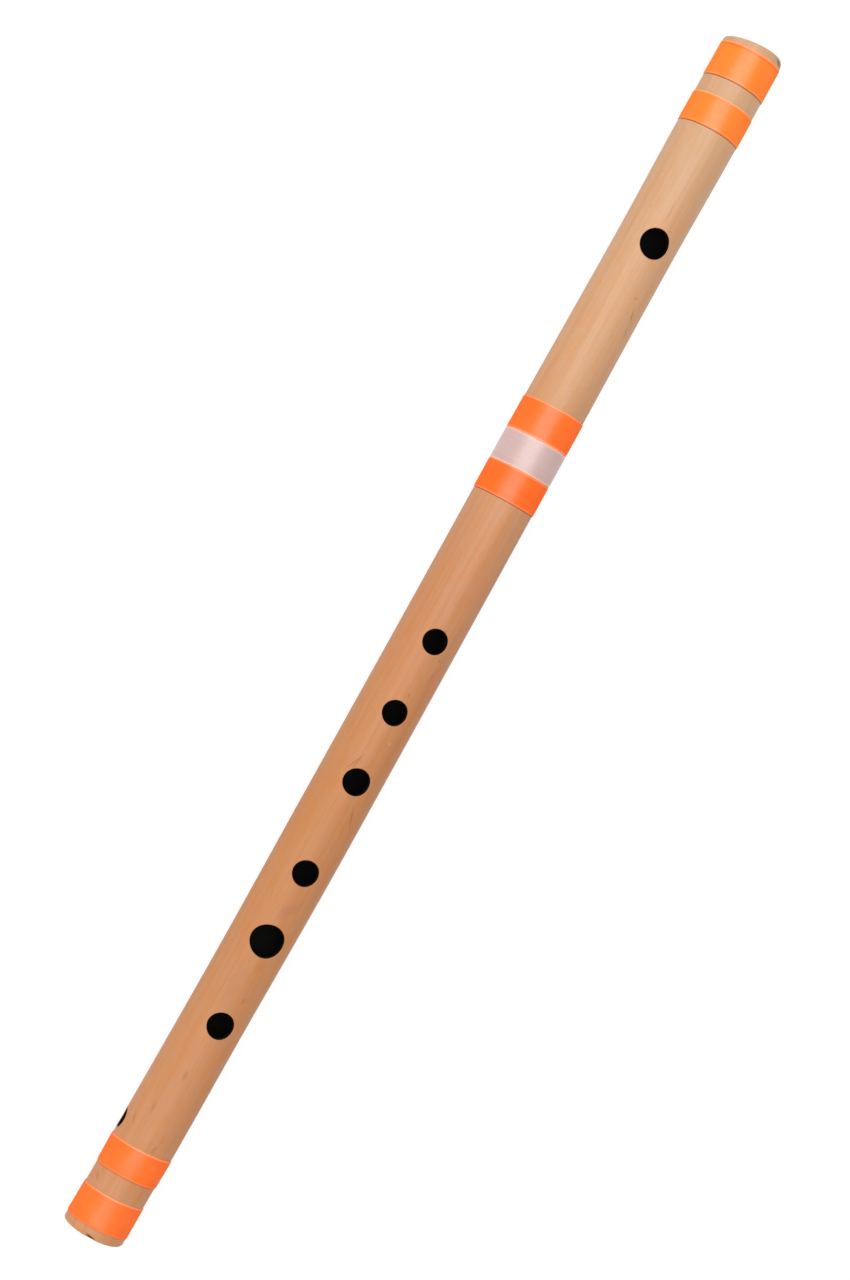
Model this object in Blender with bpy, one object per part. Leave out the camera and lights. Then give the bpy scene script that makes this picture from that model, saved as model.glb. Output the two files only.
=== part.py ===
"""A side-blown bamboo flute: one length of bamboo with a blow hole, six finger holes and a side
hole, a cork inside its head, and seven bands of thread wound round it. Sizes are in metres.

The flute lies along X with its head at +X, its finger holes up and its side hole on the +Y side.
The origin is on the surface that it rests on, under its middle."""

import math

import bmesh
import bpy
from mathutils import Vector

# The bamboo's length, in stretches from the head end to the foot end
HEAD_TO_BLOW_HOLE = 0.0793
BLOW_HOLE_TO_FIRST = 0.1592
FIRST_TO_SECOND = 0.0286
SECOND_TO_THIRD = 0.0277
THIRD_TO_FOURTH = 0.0366
FOURTH_TO_FIFTH = 0.0273
FIFTH_TO_SIXTH = 0.0339
SIXTH_TO_FOOT = 0.0873
SIDE_HOLE_TO_FOOT = 0.0411

# The bamboo's outside diameter as it swells and draws in, and its bore
HEAD_DIAMETER = 0.0229
HEAD_INNER_BAND_SEAT_DIAMETER = 0.02305
BLOW_HOLE_DIAMETER_OUTSIDE = 0.0224
MIDDLE_DIAMETER = 0.0233
BELLY_DIAMETER = 0.0235
SIXTH_HOLE_DIAMETER_OUTSIDE = 0.02285
FOOT_INNER_BAND_SEAT_DIAMETER = 0.02315
BETWEEN_FOOT_BANDS_DIAMETER = 0.02275
FOOT_DIAMETER = 0.0231
BORE_DIAMETER = 0.0176
END_EASE = 0.0004

# How far the grown bamboo strays sideways from a straight line
BOW = 0.00068
FOOT_CROOK = 0.0009
FOOT_CROOK_LENGTH = 0.0600

# The burnt holes: width along the flute, width across it, and degrees from the top towards +Y
BLOW_HOLE_LENGTH = 0.0110
BLOW_HOLE_WIDTH = 0.0105
FIRST_HOLE = 0.00905
SECOND_HOLE = 0.0091
THIRD_HOLE = 0.0096
FOURTH_HOLE = 0.0092
FIFTH_HOLE = 0.01195
SIXTH_HOLE = 0.00955
SIDE_HOLE = 0.0070
HOLE_EASE = 0.0003
BLOW_HOLE_TURN = -1.3
FIRST_HOLE_TURN = -2.0
MIDDLE_HOLES_TURN = -0.1
SIXTH_HOLE_TURN = -2.4
SIDE_HOLE_TURN = 96.5

# The cork: its inner face is about one bore diameter behind the blow hole's centre
CORK_LENGTH = 0.0200
CORK_TO_BLOW_HOLE = 0.0175
CORK_GAP = 0.0003
CORK_EASE = 0.0008

# The thread bands, from the head end to the foot end
HEAD_RIM = 0.0033
HEAD_END_BAND = 0.0132
HEAD_BANDS_APART = 0.0068
HEAD_INNER_BAND = 0.0114
BLOW_HOLE_TO_MIDDLE_BANDS = 0.0670
MIDDLE_UPPER_BAND = 0.0127
MIDDLE_WHITE_BAND = 0.0122
MIDDLE_LOWER_BAND = 0.0115
MIDDLE_BANDS_APART = 0.0003
FOOT_INNER_BAND = 0.0112
FOOT_BANDS_APART = 0.0082
FOOT_END_BAND = 0.0124
FOOT_RIM = 0.0039
BAND_HEIGHT = 0.0003
BAND_SEAT_GAP = 0.0001
THREAD_PITCH = 0.0011
THREAD_RELIEF = 0.00012

# Fineness of the meshes
TUBE_SIDES = 48
BORE_STEP = 0.0400
OUTSIDE_STEP = 0.0270
HOLE_SIDES = 24
TURN_SIDES = 24

# Finishes: colour, roughness
BAMBOO = ("bamboo", (0.65, 0.35, 0.19), 0.45)
ORANGE_THREAD = ("orange_thread", (0.98, 0.21, 0.05), 0.40)
WHITE_THREAD = ("white_thread", (0.73, 0.62, 0.60), 0.35)
CORK = ("cork", (0.43, 0.23, 0.10), 0.85)

# Distances from the head end
BLOW_HOLE_AT = HEAD_TO_BLOW_HOLE
FIRST_AT = BLOW_HOLE_AT + BLOW_HOLE_TO_FIRST
SECOND_AT = FIRST_AT + FIRST_TO_SECOND
THIRD_AT = SECOND_AT + SECOND_TO_THIRD
FOURTH_AT = THIRD_AT + THIRD_TO_FOURTH
FIFTH_AT = FOURTH_AT + FOURTH_TO_FIFTH
SIXTH_AT = FIFTH_AT + FIFTH_TO_SIXTH
FOOT_AT = SIXTH_AT + SIXTH_TO_FOOT
SIDE_HOLE_AT = FOOT_AT - SIDE_HOLE_TO_FOOT
HEAD_INNER_AT = HEAD_RIM + HEAD_END_BAND + HEAD_BANDS_APART
MIDDLE_UPPER_AT = BLOW_HOLE_AT + BLOW_HOLE_TO_MIDDLE_BANDS
MIDDLE_WHITE_AT = MIDDLE_UPPER_AT + MIDDLE_UPPER_BAND + MIDDLE_BANDS_APART
MIDDLE_LOWER_AT = MIDDLE_WHITE_AT + MIDDLE_WHITE_BAND + MIDDLE_BANDS_APART
MIDDLE_BANDS_END = MIDDLE_LOWER_AT + MIDDLE_LOWER_BAND
FOOT_END_BAND_AT = FOOT_AT - FOOT_RIM - FOOT_END_BAND
FOOT_INNER_AT = FOOT_END_BAND_AT - FOOT_BANDS_APART - FOOT_INNER_BAND

BANDS = (
    ("head_end_binding", HEAD_RIM, HEAD_END_BAND, ORANGE_THREAD),
    ("head_inner_binding", HEAD_INNER_AT, HEAD_INNER_BAND, ORANGE_THREAD),
    ("middle_upper_binding", MIDDLE_UPPER_AT, MIDDLE_UPPER_BAND, ORANGE_THREAD),
    ("middle_white_binding", MIDDLE_WHITE_AT, MIDDLE_WHITE_BAND, WHITE_THREAD),
    ("middle_lower_binding", MIDDLE_LOWER_AT, MIDDLE_LOWER_BAND, ORANGE_THREAD),
    ("foot_inner_binding", FOOT_INNER_AT, FOOT_INNER_BAND, ORANGE_THREAD),
    ("foot_end_binding", FOOT_END_BAND_AT, FOOT_END_BAND, ORANGE_THREAD),
)

HOLES = (
    ("blow_hole", BLOW_HOLE_AT, BLOW_HOLE_LENGTH, BLOW_HOLE_WIDTH, BLOW_HOLE_TURN),
    ("first_hole", FIRST_AT, FIRST_HOLE, FIRST_HOLE, FIRST_HOLE_TURN),
    ("second_hole", SECOND_AT, SECOND_HOLE, SECOND_HOLE, MIDDLE_HOLES_TURN),
    ("third_hole", THIRD_AT, THIRD_HOLE, THIRD_HOLE, MIDDLE_HOLES_TURN),
    ("fourth_hole", FOURTH_AT, FOURTH_HOLE, FOURTH_HOLE, MIDDLE_HOLES_TURN),
    ("fifth_hole", FIFTH_AT, FIFTH_HOLE, FIFTH_HOLE, MIDDLE_HOLES_TURN),
    ("sixth_hole", SIXTH_AT, SIXTH_HOLE, SIXTH_HOLE, SIXTH_HOLE_TURN),
    ("side_hole", SIDE_HOLE_AT, SIDE_HOLE, SIDE_HOLE, SIDE_HOLE_TURN),
)


def eased(share):
    """0 to 1 with a level start and end."""
    share = min(1.0, max(0.0, share))
    return share * share * (3 - 2 * share)


def outside_radius(at):
    """The bamboo's outside radius at a distance from the head end."""
    widths = (
        (0.0, HEAD_DIAMETER),
        (HEAD_INNER_AT + HEAD_INNER_BAND, HEAD_INNER_BAND_SEAT_DIAMETER),
        (BLOW_HOLE_AT, BLOW_HOLE_DIAMETER_OUTSIDE),
        ((MIDDLE_UPPER_AT + MIDDLE_BANDS_END) / 2, MIDDLE_DIAMETER),
        ((THIRD_AT + FOURTH_AT) / 2, BELLY_DIAMETER),
        (SIXTH_AT, SIXTH_HOLE_DIAMETER_OUTSIDE),
        (FOOT_INNER_AT, FOOT_INNER_BAND_SEAT_DIAMETER),
        (FOOT_END_BAND_AT - FOOT_BANDS_APART / 2, BETWEEN_FOOT_BANDS_DIAMETER),
        (FOOT_AT, FOOT_DIAMETER),
    )
    for (start, before), (end, after) in zip(widths, widths[1:]):
        if at <= end:
            break
    share = eased((at - start) / (end - start))
    return (before + (after - before) * share) / 2


def sideways(at):
    """How far the bamboo's middle lies towards +Y. It is straight from the head to the blow hole,
    bows away from the side hole, most at the fourth hole, and is crooked at the foot."""
    into_bow = (at - BLOW_HOLE_AT) / (FOURTH_AT - BLOW_HOLE_AT)
    out_of_bow = (SIDE_HOLE_AT - at) / (SIDE_HOLE_AT - FOURTH_AT)
    bowed = BOW * eased(min(into_bow, out_of_bow))
    last = max(0.0, 1 - (FOOT_AT - at) / FOOT_CROOK_LENGTH)
    return FOOT_CROOK * last**1.5 - bowed


def centre(at):
    """The middle of the bamboo at a distance from the head end."""
    return Vector((FOOT_AT / 2 - at, sideways(at), 0))


def finish(name, colour, roughness):
    material = bpy.data.materials.get(name)
    if material is None:
        material = bpy.data.materials.new(name)
        material.use_nodes = True
        shader = material.node_tree.nodes["Principled BSDF"]
        shader.inputs["Base Color"].default_value = (*colour, 1)
        shader.inputs["Roughness"].default_value = roughness
        shader.inputs["Metallic"].default_value = 0
    return material


def make_object(name, bm, look=None):
    """The mesh as an object that hangs on the flute's axis, with its faces out."""
    bmesh.ops.recalc_face_normals(bm, faces=bm.faces)
    mesh = bpy.data.meshes.new(name)
    bm.to_mesh(mesh)
    bm.free()
    obj = bpy.data.objects.new(name, mesh)
    bpy.context.collection.objects.link(obj)
    obj.parent = flute_axis
    if look:
        mesh.materials.append(finish(*look))
        mesh.shade_smooth()
        mesh.set_sharp_from_angle(angle=math.radians(35))
    return obj


def round_ring(bm, middle, radius, sides):
    """A ring of points square to X, with a flat side down."""
    points = []
    for side in range(sides):
        angle = math.tau * (side + 0.5) / sides
        offset = Vector((0, math.sin(angle), math.cos(angle))) * radius
        points.append(bm.verts.new(middle + offset))
    return points


def skin(bm, rings):
    """Faces from each ring of points to the next."""
    for ring, other in zip(rings, rings[1:]):
        for side in range(len(ring)):
            after = (side + 1) % len(ring)
            bm.faces.new((ring[side], ring[after], other[after], other[side]))


def stations(marks, step):
    """The marks, with even places between those that lie more than a step apart."""
    places = [marks[0]]
    for mark in marks[1:]:
        start = places[-1]
        parts = max(1, math.ceil((mark - start) / step))
        places += [start + (mark - start) * part / parts for part in range(1, parts + 1)]
    return places


def bamboo_tube():
    """A wall lofted from the head end down its outside, and back up its bore."""
    edges = [edge for _, at, width, _ in BANDS for edge in (at, at + width)]
    outer_marks = [END_EASE, *edges, FOOT_AT - END_EASE]
    bm = bmesh.new()
    rings = []
    for at in stations(outer_marks, OUTSIDE_STEP):
        rings.append(round_ring(bm, centre(at), outside_radius(at), TUBE_SIDES))
    bore = BORE_DIAMETER / 2
    foot, head = FOOT_AT, 0.0
    rings.append(round_ring(bm, centre(foot), outside_radius(foot) - END_EASE, TUBE_SIDES))
    rings.append(round_ring(bm, centre(foot), bore + END_EASE, TUBE_SIDES))
    bore_marks = [END_EASE, MIDDLE_BANDS_END, SIXTH_AT, FOOT_AT - END_EASE]
    for at in reversed(stations(bore_marks, BORE_STEP)):
        rings.append(round_ring(bm, centre(at), bore, TUBE_SIDES))
    rings.append(round_ring(bm, centre(head), bore + END_EASE, TUBE_SIDES))
    rings.append(round_ring(bm, centre(head), outside_radius(head) - END_EASE, TUBE_SIDES))
    skin(bm, [*rings, rings[0]])
    tube = make_object("bamboo_tube", bm, BAMBOO)
    for hole in HOLES:
        cut = tube.modifiers.new(hole[0], "BOOLEAN")
        cut.operation = "DIFFERENCE"
        cut.solver = "EXACT"
        cut.object = hole_cutter(*hole)
    return tube


def hole_cutter(name, at, length, width, turn):
    """A round peg from the bore out, whose flare follows the bamboo's skin and eases its edge."""
    skin_radius = outside_radius(at)
    bm = bmesh.new()
    levels = (
        (0.0, None),
        (0.0, skin_radius - HOLE_EASE),
        (2 * HOLE_EASE, skin_radius + HOLE_EASE),
        (2 * HOLE_EASE, None),
    )
    rings = []
    for (wider, level), flat in zip(levels, (0.0, None, None, 2 * skin_radius)):
        ring = []
        for side in range(HOLE_SIDES):
            angle = math.tau * side / HOLE_SIDES
            along = (length / 2 + wider) * math.cos(angle)
            across = (width / 2 + wider) * math.sin(angle)
            height = flat if level is None else math.sqrt(level**2 - across**2)
            ring.append(bm.verts.new((along, across, height)))
        rings.append(ring)
    skin(bm, rings)
    bm.faces.new(rings[0])
    bm.faces.new(rings[-1])
    cutter = make_object(name + "_cutter", bm)
    cutter.location = centre(at)
    cutter.rotation_euler.x = -math.radians(turn)
    cutter.hide_render = True
    cutter.display_type = "WIRE"
    return cutter


def stopper_cork():
    """A turned cork with eased ends, whose own origin is the middle of the bore that it slides in."""
    radius = BORE_DIAMETER / 2 - CORK_GAP
    end = CORK_LENGTH / 2
    bm = bmesh.new()
    rings = [
        round_ring(bm, Vector((-end, 0, 0)), radius - CORK_EASE, TUBE_SIDES),
        round_ring(bm, Vector((CORK_EASE - end, 0, 0)), radius, TUBE_SIDES),
        round_ring(bm, Vector((end - CORK_EASE, 0, 0)), radius, TUBE_SIDES),
        round_ring(bm, Vector((end, 0, 0)), radius - CORK_EASE, TUBE_SIDES),
    ]
    skin(bm, rings)
    bm.faces.new(rings[0])
    bm.faces.new(rings[-1])
    cork = make_object("stopper_cork", bm, CORK)
    cork.location = centre(BLOW_HOLE_AT - CORK_TO_BLOW_HOLE - end)
    return cork


def flats_out(radius):
    """The corner radius of a wound band whose flat sides lie at this radius."""
    return radius / math.cos(math.pi / TURN_SIDES)


def thread_binding(name, start, width, look):
    """A band of thread: a plain core, and on it the outer layer as one unbroken ridge that winds
    from edge to edge. Each column of points runs along the flute, a little further on than the
    last, so that the ridge climbs one pitch in a turn."""
    turns = max(1, round(width / THREAD_PITCH))
    pitch = width / turns
    bm = bmesh.new()

    def point(side, along, lift):
        at = start + along
        angle = math.tau * (side + 0.5) / TURN_SIDES
        radius = flats_out(outside_radius(at) + lift)
        offset = Vector((0, math.sin(angle), math.cos(angle))) * radius
        return bm.verts.new(centre(at) + offset)

    def face(*corners):
        corners = list(dict.fromkeys(corners))
        if len(corners) > 2:
            bm.faces.new(corners)

    core = BAND_HEIGHT - THREAD_RELIEF
    sides = range(TURN_SIDES)
    first = [point(side, 0.0, core) for side in sides]
    last = [point(side, width, core) for side in sides]
    first_inside = [point(side, 0.0, BAND_SEAT_GAP) for side in sides]
    last_inside = [point(side, width, BAND_SEAT_GAP) for side in sides]
    columns = []
    crest = {}
    for side in sides:
        column = []
        for half_turn in range(2 * turns + 4):
            step = half_turn * TURN_SIDES // 2 + side - TURN_SIDES
            along = pitch * step / TURN_SIDES
            if step <= 0:
                column.append(first[side])
            elif step >= turns * TURN_SIDES:
                column.append(last[side])
            elif half_turn % 2:
                rise = min(1.0, 2 * along / pitch, 2 * (width - along) / pitch)
                column.append(point(side, along, core + THREAD_RELIEF * rise))
                crest[half_turn // 2 * TURN_SIDES + side] = column[-1]
            else:
                column.append(point(side, along, core))
        columns.append(column)
    for side in sides:
        after = (side + 1) % TURN_SIDES
        ahead = columns[after] if after else columns[0][2:]
        for (a, b), (c, d) in zip(zip(columns[side], columns[side][1:]), zip(ahead, ahead[1:])):
            face(a, b, d, c)
        face(first[side], first[after], first_inside[after], first_inside[side])
        face(first_inside[side], first_inside[after], last_inside[after], last_inside[side])
        face(last_inside[side], last_inside[after], last[after], last[side])
    apart = [
        (vert.co - crest[place + TURN_SIDES].co).length
        for place, vert in crest.items()
        if place + TURN_SIDES in crest
    ]
    if apart:
        print(f"{name}: {turns} turns, crests at least {1000 * min(apart):.2f} mm apart")
    return make_object(name, bm, look)


def set_down(pieces):
    """Moves the flute's axis so that the pieces rest at height 0 with their middle at the origin."""
    bpy.context.view_layer.update()
    points = [obj.matrix_world @ vert.co for obj in pieces for vert in obj.data.vertices]
    low = [min(point[axis] for point in points) for axis in range(3)]
    high = [max(point[axis] for point in points) for axis in range(3)]
    flute_axis.location = (-(low[0] + high[0]) / 2, -(low[1] + high[1]) / 2, -low[2])


for leftover in list(bpy.data.objects):
    bpy.data.objects.remove(leftover)

flute_axis = bpy.data.objects.new("flute_axis", None)
bpy.context.collection.objects.link(flute_axis)
flute = [bamboo_tube(), stopper_cork()]
for band in BANDS:
    flute.append(thread_binding(*band))
set_down(flute)
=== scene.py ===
import math

import bmesh
import bpy
from mathutils import Matrix, Vector, noise


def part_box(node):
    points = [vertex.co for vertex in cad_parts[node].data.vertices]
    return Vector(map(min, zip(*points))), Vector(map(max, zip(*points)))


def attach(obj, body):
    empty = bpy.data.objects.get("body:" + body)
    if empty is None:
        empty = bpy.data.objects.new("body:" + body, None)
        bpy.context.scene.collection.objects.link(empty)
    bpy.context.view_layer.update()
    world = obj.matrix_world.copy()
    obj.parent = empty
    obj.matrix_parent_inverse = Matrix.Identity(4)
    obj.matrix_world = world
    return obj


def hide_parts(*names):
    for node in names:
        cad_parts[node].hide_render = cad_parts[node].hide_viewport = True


# A bansuri lying on a pale floor. Metres. +X is the head end, +Z the side with the finger holes,
# and +Y the side with the extra hole.
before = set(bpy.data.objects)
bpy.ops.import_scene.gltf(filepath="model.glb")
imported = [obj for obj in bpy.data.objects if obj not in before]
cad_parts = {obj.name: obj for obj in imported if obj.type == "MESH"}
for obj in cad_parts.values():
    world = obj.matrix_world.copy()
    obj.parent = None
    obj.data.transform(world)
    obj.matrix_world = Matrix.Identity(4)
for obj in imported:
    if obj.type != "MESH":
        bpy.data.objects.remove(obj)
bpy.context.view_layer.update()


# Bamboo tube
# One length of thin-walled bamboo with its skin left on, cut from between two knots and sanded round
# at both ends. Its holes are burnt through one wall with a hot rod, which chars them and the bore. The
# bore's near-black middle is part charring and part painted shade.
tube_low, tube_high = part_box("bamboo_tube")
cork_low, cork_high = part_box("stopper_cork")
HEAD_X = tube_high.x
FOOT_X = tube_low.x
BORE_Y = (cork_low.y + cork_high.y) / 2
BORE_Z = (cork_low.z + cork_high.z) / 2

BLOW_HOLE_X = HEAD_X - 0.0793
FIRST_HOLE_X = BLOW_HOLE_X - 0.1592
SECOND_HOLE_X = FIRST_HOLE_X - 0.0286
THIRD_HOLE_X = SECOND_HOLE_X - 0.0277
FOURTH_HOLE_X = THIRD_HOLE_X - 0.0366
FIFTH_HOLE_X = FOURTH_HOLE_X - 0.0273
SIXTH_HOLE_X = FIFTH_HOLE_X - 0.0339
SIDE_HOLE_X = FOOT_X + 0.0411

# Each hole: where along the tube, how long, how wide, and its turn in degrees from the top towards +Y.
HOLES = (
    (BLOW_HOLE_X, 0.0111, 0.0106, -1.3),
    (FIRST_HOLE_X, 0.00925, 0.0092, -2.0),
    (SECOND_HOLE_X, 0.0093, 0.0091, -0.1),
    (THIRD_HOLE_X, 0.0099, 0.0098, -0.1),
    (FOURTH_HOLE_X, 0.0095, 0.0095, -0.1),
    (FIFTH_HOLE_X, 0.0121, 0.0123, -0.1),
    (SIXTH_HOLE_X, 0.0098, 0.0097, -2.4),
    (SIDE_HOLE_X, 0.0075, 0.0064, 93.4),
)
HOLE_EASE = 0.0003
BURNT_OVAL = 0.004
BURNT_LOBES = 0.003
CHAR_ROUGHNESS = 0.00012
CHAR_LUMPS = 900

BORE_RADIUS = 0.0088
SKIN_INSET = 0.00004
BOW = 0.00068
FOOT_CROOK = 0.0009
FOOT_CROOK_LENGTH = 0.0600
GROWN_OVAL = 0.000022
GROWN_LOBES = 0.000014


def band_box(band):
    """The lowest and the highest corner of a thread band's solid."""
    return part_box(band + "_binding")


BETWEEN_FOOT_BANDS_X = (band_box("foot_end")[1].x + band_box("foot_inner")[0].x) / 2
MIDDLE_BANDS_X = (band_box("middle_lower")[0].x + band_box("middle_upper")[1].x) / 2
BELLY_X = (THIRD_HOLE_X + FOURTH_HOLE_X) / 2
BELLY_RADIUS = 0.01175
HEAD_RADIUS = 0.01145
# The outside of the bamboo: where along the tube, and its radius there.
STATIONS = (
    (FOOT_X, 0.01155),
    (BETWEEN_FOOT_BANDS_X, 0.011375),
    (band_box("foot_inner")[1].x, 0.011575),
    (SIXTH_HOLE_X, 0.011425),
    (BELLY_X, BELLY_RADIUS),
    (MIDDLE_BANDS_X, 0.01165),
    (BLOW_HOLE_X, 0.0112),
    (band_box("head_inner")[0].x, 0.011525),
    (HEAD_X, HEAD_RADIUS),
)


def eased(share):
    """A share from 0 to 1 that starts and stops gently."""
    share = min(1.0, max(0.0, share))
    return share * share * (3 - 2 * share)


def tube_radius(x):
    """The outside radius of the bamboo, which swells and narrows between its stations."""
    for (x0, r0), (x1, r1) in zip(STATIONS, STATIONS[1:]):
        if x <= x1 or x1 == HEAD_X:
            return r0 + (r1 - r0) * eased((x - x0) / (x1 - x0))


def tube_side(x):
    """How far the middle of the tube lies to the side: a slight bow, and a crook at the foot."""
    into_bow = (BLOW_HOLE_X - x) / (BLOW_HOLE_X - FOURTH_HOLE_X)
    out_of_bow = (x - SIDE_HOLE_X) / (FOURTH_HOLE_X - SIDE_HOLE_X)
    bowed = BOW * eased(min(into_bow, out_of_bow))
    last = max(0.0, 1 - (x - FOOT_X) / FOOT_CROOK_LENGTH)
    return BORE_Y + FOOT_CROOK * last ** 1.5 - bowed


def skin_radius(x, turn):
    """The radius of the skin, with the slight out-of-round of a grown stem."""
    grown = GROWN_OVAL * math.sin(2 * turn + 19 * x) + GROWN_LOBES * math.sin(3 * turn - 47 * x)
    return tube_radius(x) - SKIN_INSET + grown


def bore_radius(x, turn):
    """The radius of the bore, the same all along and all round."""
    return BORE_RADIUS


def wall_point(x, turn, radius):
    """A point at that place along the tube and that turn from its top towards +Y, in radians."""
    return Vector((x, tube_side(x) + radius * math.sin(turn), BORE_Z + radius * math.cos(turn)))


# The ends, sawn a little out of square. The slants and the wear are set from the turn that faces the
# camera: the slant to its +Y side, the lean straight at it.
VIEWED_TURN = math.radians(13.9)
HEAD_CUT_BACK = 0.00095
HEAD_CUT_SLANT = 0.0009
HEAD_CUT_LEAN = 0.0001
FOOT_CUT_BACK = 0.00062
FOOT_CUT_SLANT = 0.00006
FOOT_CUT_LEAN = 0.00025
CHIP_TURN = math.radians(12.5)
CHIP_HALF_TURN = math.radians(11.0)
CHIP_DEPTH = 0.00012
# The sanded corners: the least length and how much more where worn, and the same for the depth.
HEAD_WEAR = ((0.0004, 0.0026), (0.0003, 0.0010))
FOOT_WEAR = ((0.0005, 0.0006), (0.0003, 0.0004))
MOUTH_ROUND = 0.0003
END_ROWS_FROM = 0.0034
END_BEND = 0.0110


def head_cut(turn):
    """How far short of the tube's full length the head's slanted saw cut is at that turn."""
    viewed = turn - VIEWED_TURN
    return HEAD_CUT_BACK + HEAD_CUT_SLANT * math.sin(viewed) - HEAD_CUT_LEAN * math.cos(viewed)


def foot_cut(turn):
    """The foot's cut is nearly square, with a small chip out of its upper edge."""
    viewed = turn - VIEWED_TURN
    chip = CHIP_DEPTH * eased(2.0 - 2.0 * abs(turn - CHIP_TURN) / CHIP_HALF_TURN)
    return FOOT_CUT_BACK - FOOT_CUT_SLANT * math.sin(viewed) - FOOT_CUT_LEAN * math.cos(viewed) + chip


def worn_size(wear, turn):
    """Length and depth of a sanded corner: keen on the +Y side, more worn on the other."""
    worn = max(0.0, -math.sin(turn - VIEWED_TURN)) ** 2
    return [least + more * worn for least, more in wear]


def bent_x(x, turn):
    """Rows near an end bend to run along its saw cut."""
    to_head = max(0.0, 1 - (HEAD_X - x) / END_BEND)
    to_foot = max(0.0, 1 - (x - FOOT_X) / END_BEND)
    return x - head_cut(turn) * to_head ** 2 + foot_cut(turn) * to_foot ** 2


# The walls are rows and columns of corners, and each hole has a finer patch of rings set into them.
COLUMNS = 96
ROW_STEP = 0.0015
PATCH_HALF_COLUMNS = 14
PATCH_ROWS = 14
PATCH_MARGIN = 0.0036
PATCH_AROUND = 2 * (2 * PATCH_HALF_COLUMNS + PATCH_ROWS)
# Rings of a patch: on the skin, round the eased rim, down the hole, and on the bore.
SKIN_RINGS = (0.74, 0.52, 0.34, 0.21, 0.12, 0.06, 0.025, 0.0)
RIM_RINGS = (22.5, 45, 67.5, 90)
HOLE_RINGS = (0.2, 0.4, 0.6, 0.8)
BORE_RINGS = (0.0, 0.12, 0.36, 0.68)
# Rings of an end: round the worn corner, across the wall, and round the mouth.
CORNER_RINGS = (0, 18, 36, 54, 72, 90)
WALL_RINGS = (0.25, 0.5, 0.75, 1.0)
MOUTH_RINGS = (30, 60, 90)
SKIN, SCORCHED, BORE, END_GRAIN = range(4)

corners = []
scorches = []
faces = []


def corner(point, scorch=0.0):
    """Adds a corner of the tube, with how scorched it is, and gives its number."""
    corners.append(point)
    scorches.append(scorch)
    return len(corners) - 1


def join_loops(loops, sides):
    """Fills between each loop and the next with four-sided faces, in the finish of the next."""
    for (one, _), (other, finish) in zip(loops, loops[1:]):
        for k in range(len(one)):
            after = (k + 1) % len(one)
            sides.append(((one[k], one[after], other[after], other[k]), finish))


def even_rows(start, stop):
    """Rows from start up to but without stop, about a row step apart."""
    count = max(1, round((stop - start) / ROW_STEP))
    return [start + (stop - start) * n / count for n in range(count)]


row_places = []
patches = []
reached = FOOT_X + END_ROWS_FROM
for x, length, width, degrees in sorted(HOLES):
    half = length / 2 + PATCH_MARGIN
    row_places += even_rows(reached, x - half)
    first_row = len(row_places)
    row_places += [x - half + 2 * half * n / PATCH_ROWS for n in range(PATCH_ROWS)]
    column = round(math.radians(degrees) / math.tau * COLUMNS)
    patches.append((x, length, width, math.radians(degrees), first_row, column))
    reached = x + half
row_places += even_rows(reached, HEAD_X - END_ROWS_FROM) + [HEAD_X - END_ROWS_FROM]


def patch_columns_from(column, k):
    """How many columns a column is past the middle one of a patch, counted the short way round."""
    return (k - column + COLUMNS // 2) % COLUMNS - COLUMNS // 2


def in_a_patch(row, k):
    """True for a corner strictly inside a patch, which the patch's own rings replace."""
    for *_, first, column in patches:
        if first < row < first + PATCH_ROWS and abs(patch_columns_from(column, k)) < PATCH_HALF_COLUMNS:
            return True
    return False


def cell_in_a_patch(row, k):
    """True for a cell, named by its first corner, that lies in a patch."""
    for *_, first, column in patches:
        past = patch_columns_from(column, k)
        if first <= row < first + PATCH_ROWS and -PATCH_HALF_COLUMNS <= past < PATCH_HALF_COLUMNS:
            return True
    return False


def wall_grid(radius_at, finish):
    """A wall of rows and columns along the whole tube, left open where the holes' patches go."""
    grid = []
    for row, x in enumerate(row_places):
        line = []
        for k in range(COLUMNS):
            turn = math.tau * k / COLUMNS
            placed = bent_x(x, turn)
            if in_a_patch(row, k):
                line.append(None)
            else:
                line.append(corner(wall_point(placed, turn, radius_at(placed, turn))))
        grid.append(line)
    for row in range(len(row_places) - 1):
        for k in range(COLUMNS):
            after = (k + 1) % COLUMNS
            if not cell_in_a_patch(row, k):
                cell = (grid[row][k], grid[row][after], grid[row + 1][after], grid[row + 1][k])
                faces.append((cell, finish))
    return grid


def patch_edge(first_row, column):
    """The rows and columns round the edge of a patch, from its head side, turning towards +Y."""
    half = PATCH_HALF_COLUMNS
    edge = [(PATCH_ROWS, k) for k in range(half)]
    edge += [(PATCH_ROWS - n, half) for n in range(PATCH_ROWS)]
    edge += [(0, half - k) for k in range(2 * half)]
    edge += [(n, -half) for n in range(PATCH_ROWS)]
    edge += [(PATCH_ROWS, k - half) for k in range(half)]
    return [(first_row + row, (column + k) % COLUMNS, k) for row, k in edge]


def hole_reach(angle, length, width, grown, wander):
    """Along and across from a hole's middle to its rim, a burnt ellipse that isn't quite true."""
    burnt = 1 + BURNT_OVAL * math.sin(2 * angle + wander) + BURNT_LOBES * math.sin(3 * angle + 2 * wander)
    along = (length / 2 * burnt + grown) * math.cos(angle)
    across = (width / 2 * burnt + grown) * math.sin(angle)
    return along, across


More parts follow.
